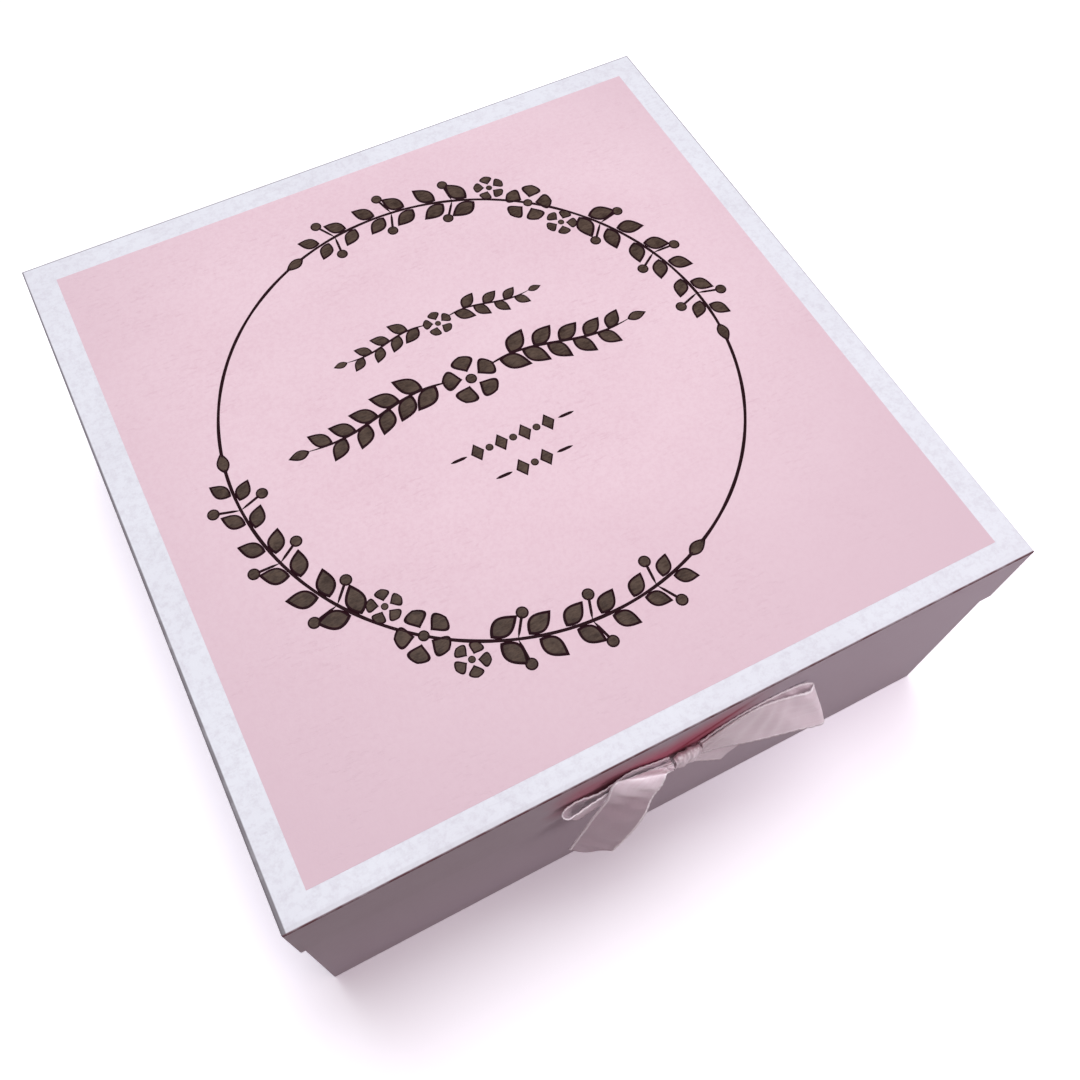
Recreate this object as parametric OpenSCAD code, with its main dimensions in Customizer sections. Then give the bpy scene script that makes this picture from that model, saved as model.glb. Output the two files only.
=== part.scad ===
// Keepsake box: a square box of white-painted boards with a deep lid on two
// butt hinges at the back, a pink printed field on the lid's top and a satin
// ribbon bow on the middle of the lid's front.
// Millimetres, +Z up. The origin is on the table under the middle of the lid,
// the front faces -Y, and the lid opens about the pin axis behind the back.

/* [Box] */
// Width of the lid, left to right
box_w = 260; // [180:1:360]
// Depth of the lid, front to back
box_d = 260; // [180:1:360]
// Height of the closed box, from the table to the lid's top board
box_h = 118; // [90:1:200]
// Height of the lid, its top board included
lid_h = 35; // [32:1:60]
// How far the lid stands proud of the body at the front and the sides
lid_overhang = 1; // [0:0.1:3]
// Gap between the closed lid and the body
seam_gap = 0.4; // [0.2:0.1:1]

/* [Boards] */
// Thickness of the four body walls
wall_t = 8; // [6:0.5:14]
// Thickness of the four lid walls
skirt_t = 8; // [6:0.5:14]
// Thickness of the lid's top board
top_t = 5; // [3:0.5:10]
// Thickness of the bottom board
base_t = 4; // [3:0.5:8]
// How far the bottom board reaches into its rebate under each wall
base_lap = 4; // [2:0.5:5]
// What is left of a front or back board over the ends of the side boards
corner_lap = 3; // [2:0.5:5]
// Rounding of the outer edges
edge_r = 0.6; // [0.4:0.1:2]
// Clearance of the bottom board in its rebate
panel_gap = 0.1; // [0.05:0.05:0.3]

/* [Printed field] */
// Width of the printed field on the lid's top
print_w = 240; // [100:1:250]
// Depth of the printed field
print_d = 242; // [100:1:250]
// How far the field's middle lies right of the lid's middle
print_right = 0.6; // [-3:0.1:3]
// How far the field's middle lies in front of the lid's middle
print_front = 0.6; // [-3:0.1:3]
// Thickness of the printed layer
print_t = 0.1; // [0.05:0.05:0.5]

/* [Hinges] */
// Length of each hinge along the back
hinge_len = 38; // [30:1:60]
// Distance of each hinge from the box's side
hinge_inset = 42; // [20:1:70]
// Height of a leaf, from the pin axis to its free edge
leaf_h = 13; // [11:0.5:18]
// Thickness of a leaf
leaf_t = 1; // [0.8:0.1:1.5]
// Radius of a leaf's free corners
leaf_corner_r = 2; // [0.5:0.5:3]
// Outer diameter of the knuckles
barrel_d = 5; // [4:0.5:7]
// Diameter of the pin
pin_d = 2; // [1.6:0.1:2.4]
// Number of knuckles on a hinge, an odd number
knuckles = 5; // [3:2:7]
// Gap between neighbouring knuckles, and round a knuckle in the other leaf
knuckle_gap = 0.3; // [0.2:0.05:0.5]
// Radial running clearance of the pin in the lid's knuckles
pin_run = 0.05; // [0.02:0.01:0.1]
// Diameter of the pin's domed ends
pin_cap_d = 3.4; // [2.8:0.1:4]
// Height of the pin's domed ends
pin_cap_h = 0.8; // [0.4:0.1:1.2]

/* [Screws] */
// Diameter of a screw's shank
screw_d = 2.2; // [1.6:0.1:2.6]
// Diameter of a screw's countersunk head
screw_head_d = 4; // [3.4:0.1:4.6]
// Length of a screw, head included
screw_len = 7; // [5:0.5:7]
// Distance of each screw from the end of its leaf
screw_inset = 8; // [5:0.5:12]
// Radial clearance of a screw in its hole
screw_gap = 0.05; // [0.02:0.01:0.1]

/* [Bow] */
// Width of the ribbon
ribbon_w = 16; // [12:0.5:20]
// Thickness of the ribbon's solids
ribbon_t = 0.6; // [0.4:0.1:0.8]
// Clearance of the bow's soft pieces from each other and from the lid
soft_gap = 0.3; // [0.2:0.05:0.5]
// How far the knot lies right of the box's middle
bow_right = 2; // [-20:1:20]
// Height of the knot's middle above the lid's lower edge
bow_up = 8.5; // [7:0.5:12]
// Width of the knot
knot_w = 10; // [8:0.5:13]
// Height of the knot
knot_h = 10; // [8.5:0.5:12]
// How far the knot stands out from the lid
knot_out = 4.4; // [4:0.1:6]
// Width to which the ribbon is gathered at the knot
gather_w = 7.5; // [6:0.5:9]

/* [Hidden] */

// Colours
paint = [0.93, 0.92, 0.95];
print_pink = [0.91, 0.79, 0.85];
nickel = [0.72, 0.72, 0.73];
satin = [0.86, 0.66, 0.74];

// The body stands back from the lid at the front and the sides, and is flush with it at the back
body_w = box_w - 2 * lid_overhang;
body_d = box_d - lid_overhang;
body_h = box_h - lid_h - seam_gap;
body_y = lid_overhang / 2;
lid_z = body_h + seam_gap;
skirt_h = lid_h - top_t;

// The pin axis lies behind the back, level with the middle of the seam
axis_y = box_d / 2 + barrel_d / 2;
axis_z = body_h + seam_gap / 2;
hinge_x = box_w / 2 - hinge_inset - hinge_len / 2;
knuckle_len = hinge_len / knuckles;
screw_x = hinge_len / 2 - screw_inset;
screw_z = (barrel_d / 2 + leaf_h) / 2;
pin_seat = 0.01;
over = 1;
round_fn = 48;

// ---- Boards ----------------------------------------------------------------

// A rectangle with rounded corners, about the origin
module rounded_rect(w, d, r) {
    square([w - 2 * r, d], center = true);
    square([w, d - 2 * r], center = true);
    for (sx = [-1, 1], sy = [-1, 1])
        translate([sx * (w / 2 - r), sy * (d / 2 - r)])
            circle(r, $fn = round_fn);
}

// A rectangle that stands on the origin, with its two upper corners rounded
module crowned_rect(w, h, r) {
    translate([-w / 2, 0])
        square([w, h - r]);
    translate([-w / 2 + r, 0])
        square([w - 2 * r, h]);
    for (sx = [-1, 1])
        translate([sx * (w / 2 - r), h - r])
            circle(r, $fn = round_fn);
}

// A board that lies flat, with its upper edges and its corners rounded
module crowned_board(w, d, h, r) {
    intersection() {
        linear_extrude(h)
            rounded_rect(w, d, r);
        rotate([90, 0, 0])
            linear_extrude(d + 2 * over, center = true)
                crowned_rect(w, h, r);
        rotate([90, 0, 90])
            linear_extrude(w + 2 * over, center = true)
                crowned_rect(d, h, r);
    }
}

// The front board of a frame w by d: full width, rebated for the side boards
module end_board(w, d, h, t) {
    difference() {
        intersection() {
            translate([-w / 2, -d / 2, 0])
                cube([w, t, h]);
            linear_extrude(h)
                rounded_rect(w, d, edge_r);
        }
        for (sx = [-1, 1])
            translate([sx * (w / 2 + over / 2 - t / 2) - (t + over) / 2, -d / 2 + corner_lap, -over])
                cube([t + over, t, h + 2 * over]);
    }
}

// The right-hand board of a frame w by d, between the front and back laps
module side_board(w, d, h, t) {
    translate([w / 2 - t, -d / 2 + corner_lap, 0])
        cube([t, d - 2 * corner_lap, h]);
}

// The space of the bottom board, grown by gap on every side but the lower one
module base_space(gap) {
    w = body_w - 2 * (wall_t - base_lap) + 2 * gap;
    d = body_d - 2 * (wall_t - base_lap) + 2 * gap;
    translate([-w / 2, -d / 2, -gap])
        cube([w, d, base_t + 2 * gap]);
}

module in_lid() {
    translate([0, 0, lid_z])
        children();
}

module in_body() {
    translate([0, body_y, 0])
        children();
}

module lid_top() {
    color(paint)
        in_lid()
            translate([0, 0, skirt_h])
                crowned_board(box_w, box_d, top_t, edge_r);
}

module lid_front() {
    color(paint)
        in_lid()
            end_board(box_w, box_d, skirt_h, skirt_t);
}

module lid_back() {
    color(paint)
        difference() {
            in_lid()
                rotate([0, 0, 180])
                    end_board(box_w, box_d, skirt_h, skirt_t);
            screw_holes(1);
        }
}

module lid_side(side) {
    color(paint)
        in_lid()
            mirror([side < 0 ? 1 : 0, 0, 0])
                side_board(box_w, box_d, skirt_h, skirt_t);
}

module print_field() {
    color(print_pink)
        translate([print_right - print_w / 2, -print_front - print_d / 2, box_h])
            cube([print_w, print_d, print_t]);
}

module body_front() {
    color(paint)
        in_body()
            difference() {
                end_board(body_w, body_d, body_h, wall_t);
                base_space(panel_gap);
            }
}

module body_back() {
    color(paint)
        difference() {
            in_body()
                difference() {
                    rotate([0, 0, 180])
                        end_board(body_w, body_d, body_h, wall_t);
                    base_space(panel_gap);
                }
            screw_holes(-1);
        }
}

module body_side(side) {
    color(paint)
        in_body()
            difference() {
                mirror([side < 0 ? 1 : 0, 0, 0])
                    side_board(body_w, body_d, body_h, wall_t);
                base_space(panel_gap);
            }
}

module base_panel() {
    color(paint)
        in_body()
            base_space(0);
}

// ---- Hinges ----------------------------------------------------------------
// Each hinge is drawn about its pin axis: X along the pin, Y away from the box.
// up is 1 for the lid's leaf and -1 for the body's leaf, which hangs down.

module at_hinge(side) {
    translate([side * hinge_x, axis_y, axis_z])
        children();
}

// The body's leaf has the knuckles 0, 2, 4 and the lid's leaf those between
function is_lid_knuckle(i) = i % 2 == 1;
function knuckle_x(i) = -hinge_len / 2 + i * knuckle_len;

module along_pin(x) {
    translate([x, 0, 0])
        rotate([0, 90, 0])
            children();
}

// Where the screws of one leaf stand, at the face of the box
module at_screws(up) {
    for (sx = [-1, 1])
        translate([sx * screw_x, -barrel_d / 2, up * screw_z])
            rotate([-90, 0, 0])
                children();
}

// A countersunk screw along Z, its head's face at the leaf's outer face
module screw_body(gap) {
    head_r = screw_head_d / 2 + gap;
    shank_r = screw_d / 2 + gap;
    tip = screw_d / 2;
    rotate_extrude($fn = round_fn)
        polygon([
            [0, leaf_t],
            [head_r, leaf_t],
            [shank_r, leaf_t - (head_r - shank_r)],
            [shank_r, leaf_t - screw_len + tip],
            [0, leaf_t - screw_len - gap]
        ]);
}

module screw() {
    slot_w = 0.5;
    slot_depth = 0.6;
    difference() {
        screw_body(0);
        for (turn = [0, 90])
            rotate([0, 0, turn])
                translate([-screw_head_d * 0.3, -slot_w / 2, leaf_t - slot_depth])
                    cube([screw_head_d * 0.6, slot_w, slot_depth + over]);
    }
}

module screw_holes(up) {
    for (side = [-1, 1])
        at_hinge(side)
            at_screws(up)
                screw_body(screw_gap);
}

module hinge_screws(up) {
    color(nickel)
        for (side = [-1, 1])
            at_hinge(side)
                at_screws(up)
                    screw();
}

// The leaf's plate in its own plane: X along the pin, Y from the pin axis to the free edge
module leaf_outline(lid_side) {
    difference() {
        union() {
            translate([-hinge_len / 2, 0])
                square([hinge_len, leaf_h - leaf_corner_r]);
            translate([-hinge_len / 2 + leaf_corner_r, 0])
                square([hinge_len - 2 * leaf_corner_r, leaf_h]);
            for (sx = [-1, 1])
                translate([sx * (hinge_len / 2 - leaf_corner_r), leaf_h - leaf_corner_r])
                    circle(leaf_corner_r, $fn = round_fn);
        }
        for (i = [0:knuckles - 1])
            if (is_lid_knuckle(i) != lid_side)
                translate([knuckle_x(i) - knuckle_gap / 2, -over])
                    square([knuckle_len + knuckle_gap, barrel_d / 2 + knuckle_gap + over]);
        for (sx = [-1, 1])
            translate([sx * (hinge_len / 2 + over / 2 - knuckle_gap / 4), 0])
                square([over + knuckle_gap / 2, 2 * (barrel_d / 2 + knuckle_gap)], center = true);
    }
}

module leaf_plate(up) {
    translate([0, -barrel_d / 2, 0])
        rotate([90, 0, 0])
            mirror([0, 0, 1])
                linear_extrude(leaf_t)
                    mirror([0, up < 0 ? 1 : 0, 0])
                        leaf_outline(up > 0);
}

module hinge_leaf(side, up) {
    bore = pin_d + 2 * (up > 0 ? pin_run : pin_seat);
    color(nickel)
        at_hinge(side)
            difference() {
                union() {
                    difference() {
                        leaf_plate(up);
                        at_screws(up)
                            screw_body(screw_gap);
                    }
                    for (i = [0:knuckles - 1])
                        if (is_lid_knuckle(i) == (up > 0))
                            along_pin(knuckle_x(i) + knuckle_gap / 2)
                                cylinder(d = barrel_d, h = knuckle_len - knuckle_gap, $fn = round_fn);
                }
                along_pin(-hinge_len / 2 - over)
                    cylinder(d = bore, h = hinge_len + 2 * over, $fn = round_fn);
            }
}

// The pin, with a low cone on each end to keep it in
module hinge_pin(side) {
    cap_top = 0.6 * pin_cap_d;
    color(nickel)
        at_hinge(side)
            for (turn = [0, 180])
                rotate([0, 0, turn]) {
                    along_pin(0)
                        cylinder(d = pin_d, h = hinge_len / 2 + pin_seat, $fn = round_fn);
                    along_pin(hinge_len / 2 + pin_seat)
                        cylinder(d1 = pin_cap_d, d2 = cap_top, h = pin_cap_h, $fn = round_fn);
                }
}

// ---- Bow -------------------------------------------------------------------
// Drawn about the knot's middle on the lid's face: X to the right, Y out from
// the lid, Z up, and mirrored into place. Each ribbon runs between two edge
// curves and has a slightly cupped section.

ACROSS = 4;

module in_bow() {
    translate([bow_right, -box_d / 2, lid_z + bow_up])
        mirror([0, 1, 0])
            children();
}

function unit(v) = v / norm(v);

// The point at t, from 0 to 1, of the smooth curve through the points p
function spline(p, t) =
    let (
        last = len(p) - 1,
        i = min(floor(t * last), last - 1),
        u = t * last - i,
        before = i > 0 ? p[i - 1] : 2 * p[0] - p[1],
        after = i < last - 1 ? p[i + 2] : 2 * p[last] - p[last - 1]
    )
    (2 * p[i] + (p[i + 1] - before) * u
        + (2 * before - 5 * p[i] + 4 * p[i + 1] - after) * pow(u, 2)
        + (3 * (p[i] - p[i + 1]) + after - before) * pow(u, 3)) / 2;

// Direction of travel at station i of a list of middles
function heading(c, i) = unit(c[min(i + 1, len(c) - 1)] - c[max(i - 1, 0)]);

// One ring of a ribbon: the outer face's points, then the inner face's back again
function ring(middle, half, normal, cup) = [
    for (face = [1, -1], k = [0:ACROSS])
        let (q = face * (2 * k / ACROSS - 1))
            middle + half * q + normal * (cup * (1 - q * q) + face * ribbon_t / 2)
];

// edges are the points of the two edge curves; cup is how far the middle bows out
module ribbon(edges, steps, cup) {
    a = [for (i = [0:steps]) spline(edges[0], i / steps)];
    b = [for (i = [0:steps]) spline(edges[1], i / steps)];
    middles = (a + b) / 2;
    size = 2 * (ACROSS + 1);
    points = [
        for (i = [0:steps])
            let (half = (b[i] - a[i]) / 2)
                each ring(middles[i], half, unit(cross(half, heading(middles, i))), cup)
    ];
    sides = [
        for (i = [0:steps - 1], k = [0:size - 1])
            let (p = i * size + k, q = i * size + (k + 1) % size)
                each [[p, q, q + size], [p, q + size, p + size]]
    ];
    ends = [
        for (k = [0:ACROSS - 1])
            let (p = k, q = k + 1, r = size - 2 - k, s = size - 1 - k, e = steps * size)
                each [
                    [p, r, q], [p, s, r],
                    [e + p, e + q, e + r], [e + p, e + r, e + s]
                ]
    ];
    polyhedron(points, concat(sides, ends));
}

// Points are drawn for a ribbon of this width, and grow with the ribbon.
drawn_w = 16;
function grown(points) = points * ribbon_w / drawn_w;

// At the knot's sides a loop's rear layer, its front layer and the tail lie in
// a bunch, layer_pitch apart.
knot_side = knot_w / 2 + 2 * soft_gap;
bunch = gather_w / 2;
layer_pitch = 2 * ribbon_t + soft_gap / 2;
rear_out = ribbon_t / 2 + 2 * soft_gap;
front_out = rear_out + layer_pitch;
tail_out = front_out + layer_pitch;

// A loop leaves the knot along its rear layer, turns at its tip and comes back in front.
LOOP_STEPS = 42;
loop_cup = 0.1;
left_loop_edges = [
    [
        [-knot_side, rear_out, bunch],
        each grown([
            [-13, 0.7, 7], [-22, 0.7, 9.5], [-31, 0.7, 11], [-38.5, 0.8, 11],
            [-43.6, 1.4, 9.5], [-44.6, 2.6, 7.5], [-43, 3.9, 6.8],
            [-36, 3.2, 7.2], [-28, 2.5, 7], [-19, 2.2, 6.3], [-11, 2.2, 5]
        ]),
        [-knot_side, front_out, bunch]
    ],
    [
        [-knot_side, rear_out, -bunch],
        each grown([
            [-13, 0.7, -4], [-22, 0.7, -5.5], [-30, 0.7, -5.5], [-36, 0.8, -5.5],
            [-39.4, 1.2, -6.5], [-39.8, 2, -7.8], [-38.6, 2.7, -8.6],
            [-34, 2.4, -8.2], [-26, 2.1, -7.5], [-18, 2.1, -6.5], [-11, 2.2, -5]
        ]),
        [-knot_side, front_out, -bunch]
    ]
];
right_loop_edges = [
    [
        [knot_side, rear_out, bunch],
        each grown([
            [12, 0.7, 7.5], [20, 0.7, 11], [29, 0.7, 12.5], [37, 0.7, 12],
            [43, 0.9, 11], [45.6, 2, 10], [43.5, 3.4, 9.5],
            [37.5, 2.6, 10], [31, 1.8, 11], [24, 1.7, 11.8], [15, 1.9, 9]
        ]),
        [knot_side, front_out, bunch]
    ],
    [
        [knot_side, rear_out, -bunch],
        each grown([
            [12, 1.6, -4], [20, 3.2, -4], [29, 6, -3.8], [37, 8.4, -3.6],
            [44, 10.2, -3.4], [47.6, 11.2, -3.8], [46.2, 12, -4.6],
            [37, 9.9, -4.3], [28, 8, -4], [20, 6, -3.8], [13, 4, -4]
        ]),
        [knot_side, front_out, -bunch]
    ]
];

// The left tail springs up over the left loop, folds over and falls to the left.
TAIL_STEPS = 28;
tail_cup = 0.3;
left_tail_edges = [
    [
        [-knot_side, tail_out, bunch],
        each grown([
            [-13, 3.3, 9], [-20.5, 2.8, 13], [-28, 2.4, 14.5],
            [-30.5, 4.2, 6], [-35, 5.2, -3], [-39.5, 6.6, -12.5], [-43.4, 7.8, -21]
        ])
    ],
    [
        [-knot_side, tail_out, -bunch],
        each grown([
            [-8, 5.2, 5], [-11.2, 6.3, 12], [-13.5, 8, 8.5],
            [-16.5, 9, 2.5], [-20, 11.7, -4], [-24.5, 13, -16], [-29.5, 13.3, -29.5]
        ])
    ]
];
// The right tail is short and comes out below the knot, under the right loop.
knot_foot = -knot_h / 2 - 2 * soft_gap;
foot_out = 1.2;
foot_right = 4;
right_tail_edges = [
    [[foot_right - bunch, foot_out, knot_foot], each grown([[3.5, 2.2, -10], [9.3, 3.6, -14.5], [15.7, 5, -19]])],
    [[foot_right + bunch, foot_out, knot_foot], each grown([[14.5, 1, -6], [21.5, 1.3, -7], [28, 2, -10]])]
];

module bow_knot() {
    r = 1.6;
    color(satin)
        in_bow()
            hull()
                for (sx = [-1, 1], sz = [-1, 1]) {
                    translate([sx * (knot_w / 2 - r), knot_out - r, sz * (knot_h / 2 - r)])
                        sphere(r, $fn = 24);
                    translate([sx * (knot_w / 2 - r), soft_gap, sz * (knot_h / 2 - r)])
                        rotate([-90, 0, 0])
                            cylinder(r = r, h = r, $fn = 24);
                }
}

module bow_loop_left() {
    color(satin)
        in_bow()
            ribbon(left_loop_edges, LOOP_STEPS, loop_cup);
}

module bow_loop_right() {
    color(satin)
        in_bow()
            ribbon(right_loop_edges, LOOP_STEPS, loop_cup);
}

module bow_tail_left() {
    color(satin)
        in_bow()
            ribbon(left_tail_edges, TAIL_STEPS, tail_cup);
}

module bow_tail_right() {
    color(satin)
        in_bow()
            ribbon(right_tail_edges, TAIL_STEPS / 2, tail_cup);
}

lid_top();
lid_front();
lid_back();
lid_side(-1);  // lid_left
lid_side(1);  // lid_right
print_field();
body_front();
body_back();
body_side(-1);  // body_left
body_side(1);  // body_right
base_panel();
hinge_leaf(-1, 1);  // hinge_left_lid_leaf
hinge_leaf(-1, -1);  // hinge_left_body_leaf
hinge_pin(-1);  // hinge_left_pin
hinge_leaf(1, 1);  // hinge_right_lid_leaf
hinge_leaf(1, -1);  // hinge_right_body_leaf
hinge_pin(1);  // hinge_right_pin
hinge_screws(1);  // lid_hinge_screws
hinge_screws(-1);  // body_hinge_screws
bow_knot();
bow_loop_left();
bow_loop_right();
bow_tail_left();
bow_tail_right();
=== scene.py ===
"""Looks of the keepsake box: painted boards, printed lid, nickel hinges and a satin bow.

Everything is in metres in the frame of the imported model: X to the right, Y to the
hinges at the back, Z up, the origin on the table under the middle of the lid.
"""

import math

import bmesh
import bpy
import numpy as np
from mathutils import Euler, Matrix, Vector


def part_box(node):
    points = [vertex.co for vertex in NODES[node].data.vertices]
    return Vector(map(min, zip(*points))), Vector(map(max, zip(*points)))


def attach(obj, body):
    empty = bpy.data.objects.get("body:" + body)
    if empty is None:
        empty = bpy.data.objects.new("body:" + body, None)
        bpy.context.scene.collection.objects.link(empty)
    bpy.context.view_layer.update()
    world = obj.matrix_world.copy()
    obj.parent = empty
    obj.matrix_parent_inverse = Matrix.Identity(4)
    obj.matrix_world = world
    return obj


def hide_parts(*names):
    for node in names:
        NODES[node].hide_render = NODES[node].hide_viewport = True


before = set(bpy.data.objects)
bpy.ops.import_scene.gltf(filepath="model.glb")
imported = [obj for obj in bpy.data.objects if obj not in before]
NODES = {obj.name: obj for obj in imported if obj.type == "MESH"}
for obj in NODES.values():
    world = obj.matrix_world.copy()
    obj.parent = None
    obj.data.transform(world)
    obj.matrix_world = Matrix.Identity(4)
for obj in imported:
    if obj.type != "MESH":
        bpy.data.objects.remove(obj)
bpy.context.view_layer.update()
MM = 0.001


# ---- Camera, solved from the photograph with the lid taken as a square ------

PHOTO_PX = 1080
FOCAL_PX = 1117
CENTRE_PX = (479.25, 501.65)
SENSOR_MM = 36
CAMERA_AT = (-0.09943, -0.1911, 0.44158)
CAMERA_TURN = (28.528, 0.172, -26.623)


def make_camera():
    data = bpy.data.cameras.new("camera")
    data.sensor_width = SENSOR_MM
    data.lens = SENSOR_MM * FOCAL_PX / PHOTO_PX
    data.shift_x = 0.5 - CENTRE_PX[0] / PHOTO_PX
    data.shift_y = CENTRE_PX[1] / PHOTO_PX - 0.5
    data.clip_start = 0.01
    camera = bpy.data.objects.new("camera", data)
    camera.location = CAMERA_AT
    camera.rotation_euler = Euler([math.radians(a) for a in CAMERA_TURN])
    bpy.context.scene.collection.objects.link(camera)
    bpy.context.scene.camera = camera


# ---- Shader nodes -----------------------------------------------------------

class Shader:
    """Adds nodes to one node tree, with values or links given by socket name."""

    def __init__(self, tree):
        self.tree = tree
        tree.nodes.clear()

    def feed(self, socket, value):
        """Links a socket to another one, or sets its value."""
        if isinstance(value, bpy.types.NodeSocket):
            self.tree.links.new(value, socket)
        else:
            socket.default_value = value

    def add(self, kind, inputs=None, **settings):
        node = self.tree.nodes.new("ShaderNode" + kind)
        for name, value in settings.items():
            setattr(node, name, value)
        for name, value in (inputs or {}).items():
            self.feed(node.inputs[name], value)
        return node

    def math(self, operation, a, b=0.0, clamp=False):
        return self.add("Math", {0: a, 1: b}, operation=operation, use_clamp=clamp).outputs[0]

    def times(self, product, *factors):
        for factor in factors:
            product = self.math("MULTIPLY", product, factor)
        return product

    def plus(self, a, b, clamp=False):
        return self.math("ADD", a, b, clamp)

    def minus(self, a, b):
        return self.math("SUBTRACT", a, b)

    def coordinates(self, scale=(1, 1, 1)):
        """The piece's own coordinates, in metres, times scale."""
        place = self.add("TexCoord").outputs["Object"]
        return self.add("Mapping", {"Vector": place, "Scale": scale}).outputs["Vector"]

    def axes(self):
        """The piece's own X, Y and Z, in metres, by name."""
        return self.add("SeparateXYZ", {"Vector": self.coordinates()}).outputs

    def noise(self, scale, detail=3.0, roughness=0.5, stretch=(1, 1, 1), vector=None):
        """Noise of scale features to the metre, in the piece's coordinates unless a vector is given."""
        if vector is None:
            vector = self.coordinates(stretch)
        inputs = {"Vector": vector, "Scale": scale, "Detail": detail, "Roughness": roughness}
        return self.add("TexNoise", inputs).outputs["Fac"]

    def ramp(self, value, low, high, start=0.0, end=1.0):
        """Maps low..high to start..end, and holds outside."""
        inputs = {"Value": value, "From Min": low, "From Max": high, "To Min": start, "To Max": end}
        return self.add("MapRange", inputs, clamp=True).outputs["Result"]

    def mix(self, share, a, b):
        """The colour between a and b, each a link or three numbers."""
        node = self.add("Mix", {0: share}, data_type="RGBA")
        for index, colour in ((6, a), (7, b)):
            self.feed(node.inputs[index], (*colour, 1.0) if isinstance(colour, tuple) else colour)
        return node.outputs[2]

    def bump(self, height, distance, strength, normal=None):
        inputs = {"Height": height, "Distance": distance, "Strength": strength}
        if normal is not None:
            inputs["Normal"] = normal
        return self.add("Bump", inputs).outputs["Normal"]

    def principled(self, inputs):
        return self.add("BsdfPrincipled", inputs).outputs[0]

    def output(self, surface):
        self.add("OutputMaterial", {"Surface": surface})


def new_material(name):
    material = bpy.data.materials.new(name)
    material.use_nodes = True
    return material, Shader(material.node_tree)


ALONG_X, ALONG_Y, ALONG_Z = 0, 1, 2


def stretched(along, share):
    """Scale that draws a noise out along one axis, to 1/share of its size."""
    scale = [1.0, 1.0, 1.0]
    scale[along] = share
    return scale


# ---- Materials --------------------------------------------------------------
# A pair of places, in metres, says where a tone starts and where it is full.

PAINT = (0.80, 0.824, 0.878)
PAINT_THIN = (0.69, 0.685, 0.745)
PAINT_WORN = (0.36, 0.27, 0.27)
# Painted shade on the box's front: greyer paint there, deeper to the left and higher up.
PAINT_FRONT_SHADE = (0.69, 0.67, 0.73)
PAINT_FRONT_DEEP_SHADE = (0.55, 0.53, 0.56)
GLOSS = 0.14
GLOSS_FRONT = 0.03
PAINT_ROUGH = (0.46, 0.60)
WEAR_REACH = 0.7 * MM
GRAIN_SHARE = 0.09

FRONT_Y = (-127.9 * MM, -128.4 * MM)
LID_TOP_Z = (117.1 * MM, 117.4 * MM)
DEEP_SHADE_X = (40 * MM, -60 * MM)
DEEP_SHADE_Z = (15 * MM, 90 * MM)

# Painted pinkish shade and light bounced from the ribbon, on the lid's front over the bow.
PAINT_PINK_SHADE = (0.60, 0.20, 0.27)
PINK_SHADE_LEFT_X = (-45 * MM, -32 * MM)
PINK_SHADE_MIDDLE_X = (-26 * MM, -2 * MM)
PINK_SHADE_RIGHT_X = (38 * MM, 16 * MM)
PINK_SHADE_BELOW_Z = (88 * MM, 98 * MM)
PINK_SHADE_ABOVE_Z = (120 * MM, 106 * MM)
PINK_SHADE_RISE = 0.17
PINK_SHADE_CLOUD = 8 * MM

# Painted dark red contact shadow along the ribbon's edge.
PAINT_CONTACT_SHADOW = (0.36, 0.055, 0.09)
SHADOW_LINE_Z = 96.6 * MM
SHADOW_LINE_SLOPE = 0.616
SHADOW_LINE_OFF = (3.2 * MM, 0.3 * MM)
SHADOW_LINE_LEFT_X = (-5 * MM, 3 * MM)
SHADOW_LINE_RIGHT_X = (28 * MM, 15 * MM)

# Painted shade along the lid's rounded top edges, and a brown line along its front edge.
EDGE_SHADE_GREY = (0.22, 0.205, 0.225)
EDGE_BROWN = (0.15, 0.075, 0.085)
EDGE_LEFT_X = (-128.9 * MM, -129.2 * MM)
EDGE_LEFT_WIDENS = 0.0035
EDGE_RIGHT_X = (129.3 * MM, 129.5 * MM)
EDGE_RIGHT_Y = (-80 * MM, 60 * MM)
EDGE_FRONT_Y = (-129.4 * MM, -129.65 * MM)
EDGE_BACK_Y = (129.2 * MM, 129.4 * MM)
EDGE_BACK_SHARE = 0.85

PINK = (0.83, 0.637, 0.698)
PINK_THIN = (0.755, 0.535, 0.605)
# Painted shade on the print, growing away from a painted pool of light near its back.
PINK_SHADED = (0.705, 0.525, 0.588)
PRINT_LIGHT_POOL_AT = (5 * MM, 42 * MM, 118 * MM)
PRINT_LIGHT_FALLOFF = (90 * MM, 190 * MM)
PINK_ROUGH = (0.52, 0.68)
PINK_GLOSS = 0.16

NICKEL = (0.62, 0.605, 0.58)
NICKEL_HAZY = (0.52, 0.50, 0.47)
NICKEL_ROUGH = (0.24, 0.36)
HAIRLINE_SHARE = 0.03


def worn_edge(s, reach):
    """1 on edges that a bevel of this reach would round, 0 on flat faces."""
    bevel = s.add("Bevel", {"Radius": reach}, samples=4).outputs["Normal"]
    flat = s.add("NewGeometry").outputs["Normal"]
    same = s.add("VectorMath", {0: bevel, 1: flat}, operation="DOT_PRODUCT").outputs["Value"]
    return s.ramp(same, 0.985, 0.85)


def board_relief(s, along):
    """Normal of a painted board, from grain, a roller's stipple and slow unevenness, and its pores."""
    grain = s.noise(900, detail=4, roughness=0.6, stretch=stretched(along, GRAIN_SHARE))
    pores = s.ramp(grain, 0.60, 0.72)
    stipple = s.noise(1100, detail=2)
    swell = s.noise(60, detail=2)
    normal = s.bump(swell, 0.4 * MM, 0.25)
    normal = s.bump(stipple, 0.05 * MM, 0.55, normal)
    return s.bump(s.minus(1.0, pores), 0.05 * MM, 0.35, normal), pores


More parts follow.
